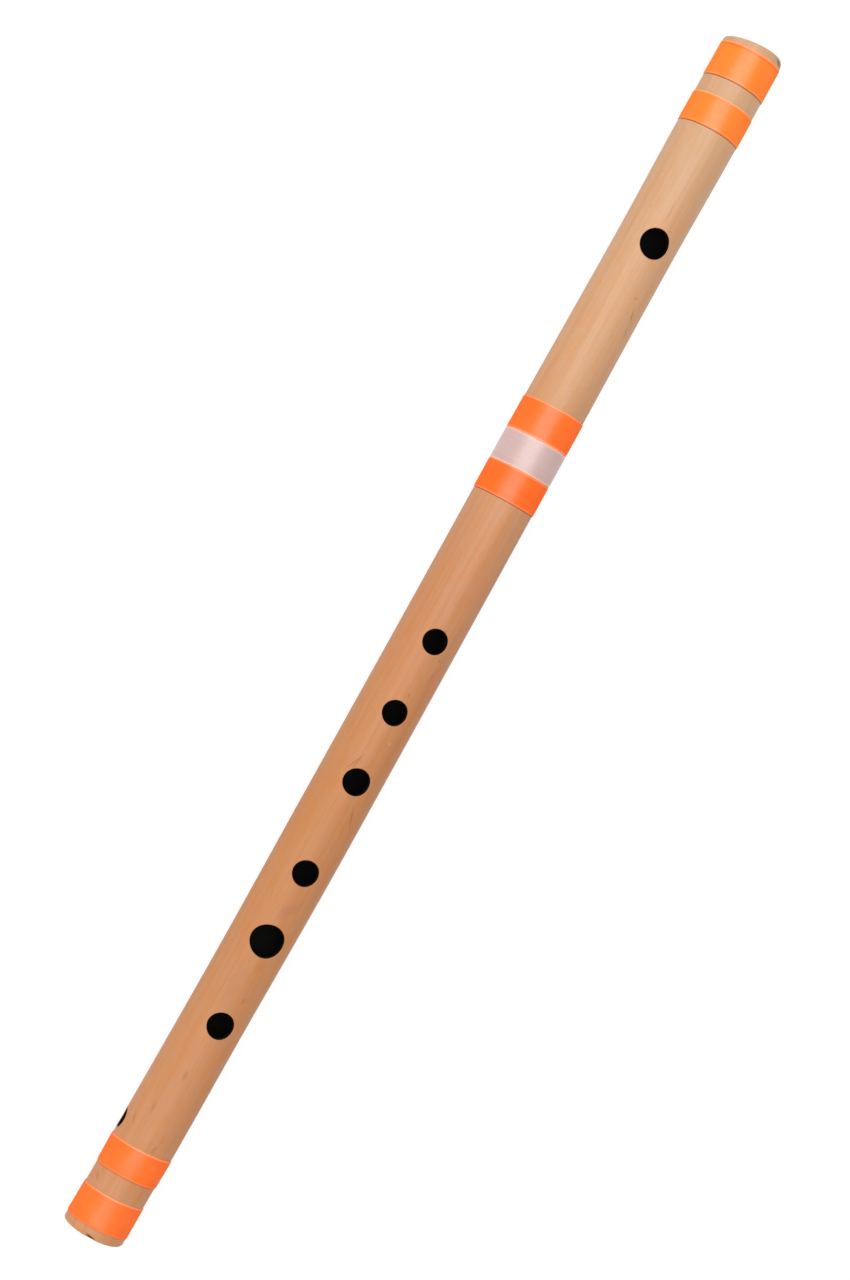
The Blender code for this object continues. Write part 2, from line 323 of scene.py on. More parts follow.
def burn_hole(skin_grid, bore_grid, x, length, width, turn, first_row, column):
    """Joins the skin to the bore round one hole: skin, rounded rim, charred wall, bore."""
    edge = patch_edge(first_row, column)
    outward = Vector((0, math.sin(turn), math.cos(turn)))
    sideways = Vector((0, math.cos(turn), -math.sin(turn)))
    angles = [math.tau * n / PATCH_AROUND for n in range(PATCH_AROUND)]
    wander = 37 * x

    def ring_on_wall(grown, share, radius_at, scorched):
        """A ring on the skin or the bore, a share of the way from the hole to the patch's edge."""
        loop = []
        for angle, (row, k, past) in zip(angles, edge):
            along, across = hole_reach(angle, length, width, grown, wander)
            rim_turn = math.asin(across / radius_at(x + along, turn))
            edge_along = row_places[row] - x
            edge_turn = math.tau * (column + past) / COLUMNS - turn
            at_x = x + along + (edge_along - along) * share
            at_turn = turn + rim_turn + (edge_turn - rim_turn) * share
            loop.append(corner(wall_point(at_x, at_turn, radius_at(at_x, at_turn)), scorched))
        return loop

    def ring_in_hole(grown, height_at, roughness, scorched):
        """A ring in the hole, from a rule that gives its height between the skin's and the bore's."""
        loop = []
        for angle in angles:
            along, across = hole_reach(angle, length, width, grown, wander)
            at_x = x + along
            skin_height = math.sqrt(skin_radius(at_x, turn + across / BELLY_RADIUS) ** 2 - across ** 2)
            bore_height = math.sqrt(BORE_RADIUS ** 2 - across ** 2)
            height = height_at(skin_height, bore_height)
            middle = Vector((at_x, tube_side(at_x), BORE_Z))
            point = middle + sideways * across + outward * height
            char = noise.noise(point * CHAR_LUMPS) * roughness
            inward = sideways * across + Vector((along, 0, 0))
            loop.append(corner(point + inward.normalized() * char, scorched))
        return loop

    skin_edge = [skin_grid[row][k] for row, k, _ in edge]
    bore_edge = [bore_grid[row][k] for row, k, _ in edge]
    loops = [(skin_edge, SKIN)]
    for share in SKIN_RINGS:
        loops.append((ring_on_wall(HOLE_EASE, share, skin_radius, 0.0), SKIN))
    for degrees in RIM_RINGS:
        rounding = math.radians(degrees)
        grown = HOLE_EASE * (1 - math.sin(rounding))

        def round_rim(skin, bore, drop=HOLE_EASE * (1 - math.cos(rounding))):
            return skin - drop

        loops.append((ring_in_hole(grown, round_rim, 0.0, degrees / 90), SKIN))
    for share in HOLE_RINGS:
        def partway(skin, bore, s=share):
            return skin - HOLE_EASE + (bore - skin + HOLE_EASE) * s

        loops.append((ring_in_hole(0.0, partway, CHAR_ROUGHNESS, 1.0), SCORCHED))
    for share in BORE_RINGS:
        loops.append((ring_on_wall(0.0, share, bore_radius, 1.0), BORE if share else SCORCHED))
    loops.append((bore_edge, BORE))
    join_loops(loops, faces)


def close_end(skin_line, bore_line, full_x, cut, wear, inwards):
    """The sanded end: worn outer corner, flat ring of end grain, rounded mouth."""
    turns = [math.tau * k / COLUMNS for k in range(COLUMNS)]
    mouth = BORE_RADIUS + MOUTH_ROUND

    def end_ring(reach):
        """One ring, from a rule that gives how far back from the cut it is and its radius."""
        loop = []
        for turn in turns:
            back, radius = reach(skin_radius(full_x, turn), *worn_size(wear, turn))
            loop.append(corner(wall_point(full_x + inwards * (cut(turn) + back), turn, radius)))
        return loop

    loops = [(skin_line, SKIN)]
    for degrees in CORNER_RINGS:
        def worn_corner(skin, length, depth, rounding=math.radians(degrees)):
            return length * (1 - math.sin(rounding)), skin - depth * (1 - math.cos(rounding))

        loops.append((end_ring(worn_corner), SKIN if degrees < 60 else END_GRAIN))
    for share in WALL_RINGS:
        def across_wall(skin, length, depth, s=share):
            return 0.0, skin - depth + (mouth - skin + depth) * s

        loops.append((end_ring(across_wall), END_GRAIN))
    for degrees in MOUTH_RINGS:
        def mouth_corner(skin, length, depth, rounding=math.radians(degrees)):
            return MOUTH_ROUND * (1 - math.cos(rounding)), mouth - MOUTH_ROUND * math.sin(rounding)

        loops.append((end_ring(mouth_corner), END_GRAIN if degrees < 60 else BORE))
    loops.append((bore_line, BORE))
    join_loops(loops, faces)


skin_grid = wall_grid(skin_radius, SKIN)
bore_grid = wall_grid(bore_radius, BORE)
for patch in patches:
    burn_hole(skin_grid, bore_grid, *patch)
close_end(skin_grid[-1], bore_grid[-1], HEAD_X, head_cut, HEAD_WEAR, -1)
close_end(skin_grid[0], bore_grid[0], FOOT_X, foot_cut, FOOT_WEAR, 1)


WELD_WITHIN = 0.0000002


def solid_piece(name, points, sides, materials, weld=False):
    """Makes an object from corners and (corners, finish) faces, with all its faces pointing out."""
    outlines = []
    for side, _ in sides:
        outlines.append([n for k, n in enumerate(side) if n not in side[:k]])
    mesh = bpy.data.meshes.new(name)
    mesh.from_pydata(points, [], outlines)
    mesh.polygons.foreach_set("material_index", [finish for _, finish in sides])
    for material in materials:
        mesh.materials.append(material)
    build = bmesh.new()
    build.from_mesh(mesh)
    if weld:
        bmesh.ops.remove_doubles(build, verts=build.verts, dist=WELD_WITHIN)
        bmesh.ops.dissolve_degenerate(build, edges=build.edges, dist=WELD_WITHIN)
    bmesh.ops.recalc_face_normals(build, faces=build.faces)
    build.to_mesh(mesh)
    build.free()
    mesh.shade_smooth()
    piece = bpy.data.objects.new(name, mesh)
    bpy.context.scene.collection.objects.link(piece)
    return piece


def colour(red, green, blue):
    """A colour as a screen shows it, 0 to 255, turned into what the shader wants."""
    shares = [value / 255 for value in (red, green, blue)]
    return tuple(s / 12.92 if s <= 0.04045 else ((s + 0.055) / 1.055) ** 2.4 for s in shares) + (1.0,)


class Finish:
    """A surface finish: a material whose nodes are added and joined by short calls."""

    def __init__(self, name, roughness):
        self.material = bpy.data.materials.new(name)
        self.material.use_nodes = True
        self.tree = self.material.node_tree
        self.surface = self.tree.nodes["Principled BSDF"]
        self.set(Roughness=roughness)
        places = self.add("ShaderNodeTexCoord")
        self.place = places.outputs["Object"]
        split = self.add("ShaderNodeSeparateXYZ", Vector=self.place)
        self.x, self.y, self.z = split.outputs

    def add(self, kind, settings=None, **sockets):
        """A new node, with its settings, and its sockets given by name."""
        node = self.tree.nodes.new(kind)
        for key, value in (settings or {}).items():
            setattr(node, key, value)
        for key, value in sockets.items():
            self.give(node.inputs[key.replace("_", " ")], value)
        return node

    def give(self, socket, value):
        """Joins another node's output to a socket, or sets the socket itself."""
        if isinstance(value, bpy.types.NodeSocket):
            self.tree.links.new(value, socket)
        else:
            socket.default_value = value

    def set(self, **sockets):
        """Sets or joins the surface's own sockets, by name."""
        for key, value in sockets.items():
            self.give(self.surface.inputs[key.replace("_", " ")], value)

    def reckon(self, operation, *values):
        """One step of arithmetic on sockets or numbers."""
        node = self.add("ShaderNodeMath", {"operation": operation})
        for socket, value in zip(node.inputs, values):
            self.give(socket, value)
        return node.outputs[0]

    def plus(self, one, other):
        return self.reckon("ADD", one, other)

    def minus(self, one, other):
        return self.reckon("SUBTRACT", one, other)

    def times(self, one, other):
        return self.reckon("MULTIPLY", one, other)

    def between(self, value, low, high, to_low=0.0, to_high=1.0, smooth=True):
        """Turns low to high into another span, held at its ends, gently unless told otherwise."""
        node = self.add("ShaderNodeMapRange", {"interpolation_type": "SMOOTHSTEP" if smooth else "LINEAR"})
        for name, given in (("Value", value), ("From Min", low), ("From Max", high),
                            ("To Min", to_low), ("To Max", to_high)):
            self.give(node.inputs[name], given)
        return node.outputs[0]

    def grain(self, scales, detail=2.0, rough=0.5, at=(0, 0, 0)):
        """Noise with its own number of waves per metre along X, Y and Z."""
        stretched = self.add("ShaderNodeMapping", {"vector_type": "POINT"}, Vector=self.place,
                             Scale=scales, Location=at)
        node = self.add("ShaderNodeTexNoise", None, Vector=stretched.outputs[0], Scale=1.0,
                        Detail=detail, Roughness=rough)
        return node.outputs[0]

    def level_x(self, to_side, to_under):
        """Place along the tube, levelled for a band that leans towards the foot by these."""
        aside = self.times(self.minus(self.y, BORE_Y), to_side / HEAD_RADIUS)
        below = self.times(self.minus(BORE_Z, self.z), to_under / HEAD_RADIUS)
        below = self.plus(below, LEAN_PIVOT * to_under)
        return self.plus(self.x, self.plus(aside, below))

    def tint(self, share, one, other, blend="MIX"):
        """Goes from one colour to another as the share goes from 0 to 1."""
        node = self.add("ShaderNodeMix", {"data_type": "RGBA", "blend_type": blend})
        self.give(node.inputs[0], share)
        self.give(node.inputs[6], one)
        self.give(node.inputs[7], other)
        return node.outputs[2]

    def stained(self, tone, stain):
        """A tone with its red, green and blue each multiplied by the stain's."""
        return self.tint(1.0, tone, stain, "MULTIPLY")

    def ramp(self, value, stops):
        """A colour that changes from stop to stop."""
        node = self.add("ShaderNodeValToRGB", None, Fac=value)
        marks = node.color_ramp.elements
        while len(marks) < len(stops):
            marks.new(0.5)
        for mark, (position, shade) in zip(marks, sorted(stops)):
            mark.position = position
            mark.color = shade
        return node.outputs[0]

    def raised(self, height, strength, distance):
        """Gives the surface a fine relief, and returns it for the coat."""
        bump = self.add("ShaderNodeBump", None, Strength=strength, Distance=distance, Height=height)
        self.set(Normal=bump.outputs[0])
        return bump.outputs[0]


# Bamboo skin: a pale tan that deepens from the head to the foot, with fibres that run lengthwise and
# a thin natural wax that is glossier towards the head.
SKIN_TONES = (
    (FOOT_X, colour(200, 145, 107)),
    (-0.070, colour(187, 131, 87)),
    (0.030, colour(192, 136, 97)),
    (0.120, colour(200, 154, 117)),
    (HEAD_X, colour(202, 163, 129)),
)
SKIN_WAX_AT_HEAD = 0.34
WARM_CLOUD = (1.02, 0.965, 0.93, 1)
DULL_STREAK = (0.95, 0.925, 0.89, 1)
DARK_FIBRE = (0.95, 0.93, 0.91, 1)
AMBER_MOTTLE = (1.02, 0.965, 0.87, 1)
SPECK = colour(140, 86, 48)
# Glue stain, also standing as painted shadow below the bands' foot-side edges.
GLUE_STAIN_AND_SHADOW = colour(156, 60, 14)
SINGED_SKIN = colour(110, 58, 34)
CHARRED_SKIN = colour(26, 13, 8)
BROWN_MARK = colour(128, 78, 48)
DARK_STAIN_AND_SHADE = colour(74, 40, 24)
PINK_STAIN = colour(176, 112, 84)
AMBER_STAIN = colour(186, 114, 54)
PALE_MARK = colour(238, 200, 170)
# Stains, scratches and specks on the skin, a dark mark on the worn head corner that is part stain and
# part painted shade, and a dark mark of painted shade in the foot's chip. Each is an oval: its place
# along X, its turn in degrees, its half length and half width, its slant in degrees, its strength and
# its shade.
MARKS = (
    # Part stain, part painted shade of the rounded head corner.
    (0.2381, -48.0, 0.0032, 0.0008, -77, 0.80, DARK_STAIN_AND_SHADE),
    (0.1728, 3.3, 0.0048, 0.00022, -3, 0.35, BROWN_MARK),
    (0.1670, -15.5, 0.0004, 0.0003, 0, 0.70, BROWN_MARK),
    (0.1407, -19.4, 0.0006, 0.0005, 0, 0.45, BROWN_MARK),
    (0.1350, -31.6, 0.0028, 0.0004, -14, 0.50, BROWN_MARK),
    (0.1290, -38.5, 0.0022, 0.0004, -19, 0.30, BROWN_MARK),
    (-0.0037, -27.2, 0.0004, 0.0004, 0, 0.80, BROWN_MARK),
    (-0.0100, -28.4, 0.0034, 0.0004, 10, 0.30, BROWN_MARK),
    (-0.0194, -6.1, 0.0014, 0.0004, -6, 0.40, BROWN_MARK),
    (-0.0376, -18.9, 0.0006, 0.0005, 0, 0.22, PALE_MARK),
    (-0.0488, 20.4, 0.0050, 0.00045, 25, 0.42, BROWN_MARK),
    (-0.0493, 17.0, 0.0030, 0.00045, 12, 0.30, BROWN_MARK),
    (-0.0668, -24.4, 0.0050, 0.0004, -23, 0.45, BROWN_MARK),
    (-0.1036, 35.7, 0.0028, 0.0002, -8, 0.30, BROWN_MARK),
    (-0.1040, -16.0, 0.0036, 0.0022, 28, 0.35, PINK_STAIN),
    (-0.1070, -0.5, 0.0040, 0.0023, 16, 0.65, PINK_STAIN),
    (-0.1283, -12.0, 0.0034, 0.0022, 12, 0.50, AMBER_STAIN),
    (-0.1380, 14.0, 0.0180, 0.0045, 0, 0.14, BROWN_MARK),
    (-0.1413, -16.8, 0.0015, 0.0007, 5, 0.28, BROWN_MARK),
    (-0.1737, 9.5, 0.0027, 0.0009, 0, 0.26, BROWN_MARK),
    (-0.1884, 31.7, 0.0030, 0.0008, -3, 0.22, BROWN_MARK),
    (-0.1956, 53.9, 0.0032, 0.0006, -26, 0.24, BROWN_MARK),
    (-0.1977, -13.4, 0.0024, 0.0012, 0, 0.26, AMBER_STAIN),
    (-0.2020, -7.3, 0.0019, 0.0007, 12, 0.28, BROWN_MARK),
    (-0.2197, 62.8, 0.0022, 0.0008, -33, 0.32, BROWN_MARK),
    # Painted shade: the dark spot in the chip at the foot's edge.
    (-0.2390, 12.5, 0.0025, 0.0006, -79, 0.95, DARK_STAIN_AND_SHADE),
)
MARK_DEPTH = 0.0015
# Glue stain along the foot side of a thread band, darkened further as painted shadow of the band's edge:
# the band, and how dark.
GLUE_AND_SHADOW_LINES = (
    ("head_end", 0.90),
    ("head_inner", 0.90),
    ("middle_lower", 0.80),
    ("foot_inner", 0.35),
    ("foot_end", 0.12),
)
GLUE_AND_SHADOW_WIDTH = 0.0005
# The bands are wound a little askew. Each leans towards the foot by the first length on its +Y side,
# and by the second on its underside, about the turn whose cosine is the pivot.
BAND_LEAN = {
    "head_end": (0.00018, 0.0),
    "head_inner": (0.00018, 0.0),
    "middle_upper": (0.00028, 0.0),
    "middle_white": (0.00025, 0.0),
    "middle_lower": (0.00010, 0.0),
    "foot_inner": (0.00005, 0.0009),
    "foot_end": (0.00010, 0.0009),
}
LEAN_PIVOT = 0.75


def skin_finish():
    """Waxy bamboo skin with its fibres, marks, glue stains with painted shadow below the bands, and the
    singed rims of its holes.
    """
    skin = Finish("bamboo_skin", 0.42)
    along = skin.between(skin.x, FOOT_X, HEAD_X, smooth=False)
    span = HEAD_X - FOOT_X
    tone = skin.ramp(along, [((x - FOOT_X) / span, shade) for x, shade in SKIN_TONES])
    fibres = skin.grain((26, 1900, 1900), 3.0, 0.6)
    streaks = skin.grain((9, 330, 330), 2.0, 0.5, (3, 1, 2))
    clouds = skin.grain((32, 70, 70), 2.0, 0.5, (7, 5, 1))
    mottle = skin.grain((190, 300, 300), 3.0, 0.62, (2, 6, 3))
    specks = skin.grain((420, 1500, 1500), 1.0, 0.4, (4, 2, 9))
    tone = skin.tint(skin.between(clouds, 0.35, 0.65), tone, skin.stained(tone, WARM_CLOUD))
    tone = skin.tint(skin.between(streaks, 0.30, 0.62), skin.stained(tone, DULL_STREAK), tone)
    tone = skin.tint(skin.between(fibres, 0.30, 0.70), skin.stained(tone, DARK_FIBRE), tone)
    tone = skin.tint(skin.between(mottle, 0.40, 0.60), tone, skin.stained(tone, AMBER_MOTTLE))
    tone = skin.tint(skin.between(specks, 0.735, 0.80, 0.0, 0.25), tone, SPECK)
    for x, degrees, half_length, half_width, slant, strength, shade in MARKS:
        turn = math.radians(degrees)
        spot = wall_point(x, turn, tube_radius(x))
        facing = Matrix.Rotation(-turn, 3, "X") @ Matrix.Rotation(math.radians(-slant), 3, "Z")
        local = skin.add("ShaderNodeMapping", {"vector_type": "TEXTURE"}, Vector=skin.place, Location=spot,
                         Rotation=facing.to_euler(), Scale=(half_length, half_width, MARK_DEPTH))
        away = skin.add("ShaderNodeVectorMath", {"operation": "LENGTH"}, Vector=local.outputs[0])
        mark = skin.between(away.outputs[1], 1.2, 0.2, 0.0, strength)
        tone = skin.tint(mark, tone, shade)
    # A dark line below each band's foot-side edge: part glue stain, part painted shadow of the band.
    for band, strength in GLUE_AND_SHADOW_LINES:
        edge_x = band_box(band)[0].x
        level_x = skin.level_x(*BAND_LEAN[band])
        line = skin.between(level_x, edge_x - GLUE_AND_SHADOW_WIDTH, edge_x - GLUE_AND_SHADOW_WIDTH * 0.5, 0.0, strength)
        under = skin.reckon("LESS_THAN", level_x, edge_x + GLUE_AND_SHADOW_WIDTH)
        tone = skin.tint(skin.times(line, under), tone, GLUE_STAIN_AND_SHADOW)
    scorch = skin.add("ShaderNodeAttribute", {"attribute_name": "scorch"}).outputs["Fac"]
    wander = skin.times(skin.minus(skin.grain((900, 900, 900)), 0.5), 0.25)
    ragged = skin.plus(scorch, wander)
    tone = skin.tint(skin.between(ragged, 0.30, 0.85), tone, SINGED_SKIN)
    tone = skin.tint(skin.between(ragged, 0.70, 1.0), tone, CHARRED_SKIN)
    relief = skin.raised(skin.plus(fibres, skin.times(streaks, 1.5)), 0.25, 0.00006)
    wax = skin.between(skin.x, FOOT_X, HEAD_X, 0.0, SKIN_WAX_AT_HEAD, smooth=False)
    worn_smooth = skin.between(streaks, 0.3, 0.7, 0.48, 0.38, smooth=False)
    skin.set(Base_Color=tone, Roughness=worn_smooth, Specular_IOR_Level=0.08)
    skin.set(Coat_Weight=wax, Coat_Roughness=0.43, Coat_Normal=relief)
    return skin.material


def scorched_finish():
    """The charcoal that lines a burnt hole."""
    char = Finish("charred_hole", 0.9)
    lumps = char.grain((1400, 1400, 1400), 3.0, 0.6)
    tone = char.tint(char.between(lumps, 0.35, 0.75), colour(7, 4, 3), colour(16, 9, 6))
    char.set(Base_Color=tone, Specular_IOR_Level=0.12)
    char.raised(lumps, 0.4, 0.0001)
    return char.material


def bore_finish():
    """Bare inner wood at the mouths, near black towards the middle of the tube from charring and painted
    shade.
    """
    bore = Finish("bore_wall", 0.8)
    fibres = bore.grain((30, 1500, 1500), 3.0, 0.6)
    lumps = bore.grain((60, 300, 300), 2.0, 0.6)
    wood = bore.tint(bore.between(fibres, 0.3, 0.7), colour(150, 100, 62), colour(184, 132, 88))
    # Near black towards the middle: charring, and painted shade of the inside of the tube.
    burnt = bore.tint(bore.between(fibres, 0.3, 0.7), colour(4, 3, 2), colour(10, 6, 4))
    from_middle = bore.reckon("ABSOLUTE", bore.minus(bore.x, (HEAD_X + FOOT_X) / 2))
    ragged = bore.plus(from_middle, bore.times(bore.minus(lumps, 0.5), 0.02))
    mouth = (HEAD_X - FOOT_X) / 2
    tone = bore.tint(bore.between(ragged, mouth - 0.024, mouth - 0.006), burnt, wood)
    bore.set(Base_Color=tone, Specular_IOR_Level=0.15)
    bore.raised(fibres, 0.3, 0.0001)
    return bore.material


def end_grain_finish():
    """The cut end: pale pith with the dark ends of the fibre bundles, closer together near the skin."""
    grain = Finish("bamboo_end_grain", 0.7)
    place = grain.add("ShaderNodeMapping", {"vector_type": "POINT"}, Vector=grain.place,
                      Scale=(300, 1900, 1900))
    bundles = grain.add("ShaderNodeTexVoronoi", None, Vector=place.outputs[0], Scale=1.0)
    from_bundle = bundles.outputs["Distance"]
    across = grain.minus(grain.y, BORE_Y)
    up = grain.minus(grain.z, BORE_Z)
    radius = grain.reckon("SQRT", grain.plus(grain.times(across, across), grain.times(up, up)))
    outer = grain.between(radius, BORE_RADIUS, HEAD_RADIUS, 0.35, 0.85)
    dots = grain.times(grain.between(from_bundle, 0.42, 0.20), outer)
    grain.set(Base_Color=grain.tint(dots, colour(206, 160, 118), colour(120, 74, 44)))
    grain.raised(from_bundle, 0.3, 0.0001)
    return grain.material


bamboo = solid_piece("bamboo", corners, faces,
                     (skin_finish(), scorched_finish(), bore_finish(), end_grain_finish()))
scorch_layer = bamboo.data.attributes.new("scorch", "FLOAT", "POINT")
scorch_layer.data.foreach_set("value", scorches)
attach(bamboo, "flute")
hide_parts("bamboo_tube")


# Thread bindings
# Seven bands of dyed thread, each one length wound close round the bamboo so that a split can't run.
# Its two ends are tucked under and glued, and the outermost turns have slipped a little lower.
THREAD = 0.00036
GROOVE = 0.00002
BAND_HEIGHT = 0.00021
SETTLED = 0.00003
SETTLING = 0.83
SLIPPED = 0.00006
SLIPPED_TURNS = 2.5
ROUNDED_TURNS = 0.7
TURN_COLUMNS = 96
PROFILE_STEPS = 6
TOUCHING_WITHIN = 0.0005
TOUCHING_GAP = 0.00002

ORANGE_HEAD = colour(255, 129, 8)
ORANGE_MIDDLE = colour(255, 109, 4)
ORANGE_LOWER = colour(255, 105, 2)
ORANGE_FOOT = colour(255, 113, 14)
WHITE_SILK = colour(193, 169, 168)
# A pale line painted along the band borders: the painted highlight of the edge turn catching the light.
PAINTED_EDGE_HIGHLIGHT = colour(255, 195, 158)
DEEPER_DYE = (1.0, 0.86, 0.80, 1)
WORN_DYE = (1.0, 0.90, 0.84, 1)
# Painted shade in the groove beside the head-side border turn.
PAINTED_CREASE_SHADE = (0.96, 0.55, 0.50, 1)
# Each band: its dye, its gloss, how strong the painted highlight is on its head-side and foot-side
# borders, how strong the painted shade is in the crease beside the head-side border, and its material
# slot.
BANDS = (
    ("head_end", ORANGE_HEAD, 0.25, 0.40, 0.10, 0.95, "orange_thread"),
    ("head_inner", ORANGE_HEAD, 0.24, 0.48, 0.10, 0.15, "orange_thread"),
    ("middle_upper", ORANGE_MIDDLE, 0.20, 0.36, 0.40, 0.10, "orange_thread"),
    ("middle_white", WHITE_SILK, 0.32, 0.60, 0.60, 0.00, "white_thread"),
    ("middle_lower", ORANGE_LOWER, 0.17, 0.30, 0.20, 0.10, "orange_thread"),
    ("foot_inner", ORANGE_FOOT, 0.21, 0.32, 0.10, 0.10, "orange_thread"),
    ("foot_end", ORANGE_FOOT, 0.22, 0.32, 0.05, 0.10, "orange_thread"),
)
EDGE_HIGHLIGHT_WIDTH = 0.00075
CREASE_IN = 0.00120
CREASE_WIDTH = 0.00040
PLY_TWISTS = 170.0


def band_reach(band):
    """Where a band starts and stops along X: bands side by side touch, so each takes half the gap."""
    low, high = (edge.x for edge in band_box(band))
    for other, *_ in BANDS:
        other_low, other_high = (edge.x for edge in band_box(other))
        if 0 < low - other_high < TOUCHING_WITHIN:
            low -= (low - other_high) / 2 - TOUCHING_GAP
        if 0 < other_low - high < TOUCHING_WITHIN:
            high += (other_low - high) / 2 - TOUCHING_GAP
    return low, high


def settled_by(wound, seed):
    """How far below its proudest the thread lies after so many turns, which is never even."""
    return SETTLED * (0.5 + 0.5 * noise.noise(Vector((wound * SETTLING, seed, 0.5))))


def wind_thread(name, low_x, high_x, lean, seed, material):
    """One band: a close helix of thread from its foot side to its head side, with rounded borders."""
    turns = round((high_x - low_x) / THREAD)
    pitch = (high_x - low_x) / turns
    rows = (turns + 1) * PROFILE_STEPS
    points = []
    sides = []

    def thread_corner(row, k):
        """A corner on the thread's round back or in the groove beside it, a step of its profile on."""
        wound = row / PROFILE_STEPS + k / TURN_COLUMNS - 1
        x = min(high_x, max(low_x, low_x + pitch * wound))
        turn = math.tau * k / TURN_COLUMNS
        phase = row % PROFILE_STEPS / PROFILE_STEPS
        from_border = min(x - low_x, high_x - x) / pitch
        height = BAND_HEIGHT + SKIN_INSET - GROOVE * (1 - math.sin(math.pi * phase))
        height -= settled_by(row // PROFILE_STEPS - 1 + turn / math.tau, seed)
        height -= SLIPPED * (1 - eased(from_border / SLIPPED_TURNS))
        height *= math.sqrt(1 - max(0.0, 1 - from_border / ROUNDED_TURNS) ** 2)
        placed = x - lean[0] * math.sin(turn) + lean[1] * (math.cos(turn) - LEAN_PIVOT)
        points.append(wall_point(placed, turn, tube_radius(placed) - SKIN_INSET + height))
        return len(points) - 1

    grid = [[thread_corner(row, k) for k in range(TURN_COLUMNS)] for row in range(rows + 1)]
    for row in range(rows):
        for k in range(TURN_COLUMNS):
            if k < TURN_COLUMNS - 1:
                beside = grid[row][k + 1]
                above = grid[row + 1][k + 1]
            else:
                beside = grid[min(rows, row + PROFILE_STEPS)][0]
                above = grid[min(rows, row + PROFILE_STEPS + 1)][0]
            sides.append(((grid[row][k], beside, above, grid[row + 1][k]), 0))
    for k in range(TURN_COLUMNS):
        after = (k + 1) % TURN_COLUMNS
        sides.append(((grid[0][k], grid[rows][k], grid[rows][after], grid[0][after]), 0))
    return solid_piece(name, points, sides, (material,), weld=True)


def thread_finish(name, dye, gloss, low_x, high_x, lean, head_highlight, foot_highlight, crease_shade):
    """Dyed thread with a satin sheen: each turn takes the dye a little differently."""
    thread = Finish(name, 0.48)
    across = thread.minus(thread.y, tube_side((low_x + high_x) / 2))
    up = thread.minus(thread.z, BORE_Z)
    turn = thread.reckon("DIVIDE", thread.reckon("ARCTAN2", across, up), math.tau)
    level_x = thread.level_x(*lean)
    by_turn = thread.grain((1700, 9, 9), 2.0, 0.6)
    patchy = thread.grain((160, 120, 120), 2.0, 0.5, (3, 8, 1))
    tone = thread.tint(thread.between(by_turn, 0.25, 0.75), thread.stained(dye, DEEPER_DYE), dye)
    tone = thread.tint(thread.between(patchy, 0.3, 0.7, 0.0, 0.5), tone, thread.stained(tone, WORN_DYE))
    from_head_side = thread.minus(high_x, level_x)
    from_foot_side = thread.minus(level_x, low_x)
    # Painted shade: a darker line in the groove just inside the head-side border.
    from_crease = thread.reckon("ABSOLUTE", thread.minus(from_head_side, CREASE_IN))
    crease_shading = thread.between(from_crease, CREASE_WIDTH, 0.0, 0.0, crease_shade)
    tone = thread.tint(crease_shading, tone, thread.stained(tone, PAINTED_CREASE_SHADE))
    # Painted highlight: the border turns are made paler where the edge catches the light.
    for from_side, strength in ((from_head_side, head_highlight), (from_foot_side, foot_highlight)):
        edge_highlight = thread.between(from_side, EDGE_HIGHLIGHT_WIDTH, EDGE_HIGHLIGHT_WIDTH * 0.4, 0.0, strength)
        tone = thread.tint(edge_highlight, tone, PAINTED_EDGE_HIGHLIGHT)
    wound = thread.minus(thread.reckon("DIVIDE", from_foot_side, THREAD), turn)
    twist = thread.times(thread.plus(thread.times(turn, PLY_TWISTS), wound), math.tau)
    ply = thread.times(thread.reckon("SINE", twist), 0.4)
    fuzz = thread.grain((5200, 900, 900), 2.0, 0.6)
    relief = thread.raised(thread.plus(ply, fuzz), 0.12, 0.00003)
    satin = thread.grain((170, 190, 190), 2.0, 0.6, (5, 2, 6))
    satin = thread.between(satin, 0.3, 0.7, gloss * 0.88, gloss * 1.12)
    thread.set(Base_Color=tone, Specular_IOR_Level=0.0)
    thread.set(Coat_Weight=satin, Coat_IOR=2.5, Coat_Roughness=0.35, Coat_Normal=relief)
    thread.set(Sheen_Weight=0.9, Sheen_Roughness=0.5, Sheen_Tint=dye)
    return thread.material


for seed, (band, dye, gloss, head_highlight, foot_highlight, crease_shade, slot) in enumerate(BANDS):
    low_x, high_x = band_reach(band)
    lean = BAND_LEAN[band]
    finish = thread_finish(band + "_dye", dye, gloss, low_x, high_x, lean, head_highlight, foot_highlight, crease_shade)
    thread_piece = wind_thread(band + "_thread", low_x, high_x, lean, seed, finish)
    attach(thread_piece, "flute")
    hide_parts(band + "_binding")


# Stopper cork
# A plug of natural cork, turned to the bore and pushed in from the head. Its face towards the blow
# hole ends the air column, and it is moved a few millimetres to tune the flute.
CORK_INSET = 0.00003
CORK_RADIUS = (cork_high.y - cork_low.y) / 2 - CORK_INSET
CORK_LENGTH = cork_high.x - cork_low.x
CORK_ROUND = 0.0008
CORK_COLUMNS = 72
CORK_ROWS = 40
CORK_FACE_SHARE = 0.3
PORE_DEPTH = 0.00035
PORES = 420
CORK_MIDDLE = Vector(((cork_low.x + cork_high.x) / 2, BORE_Y, BORE_Z))


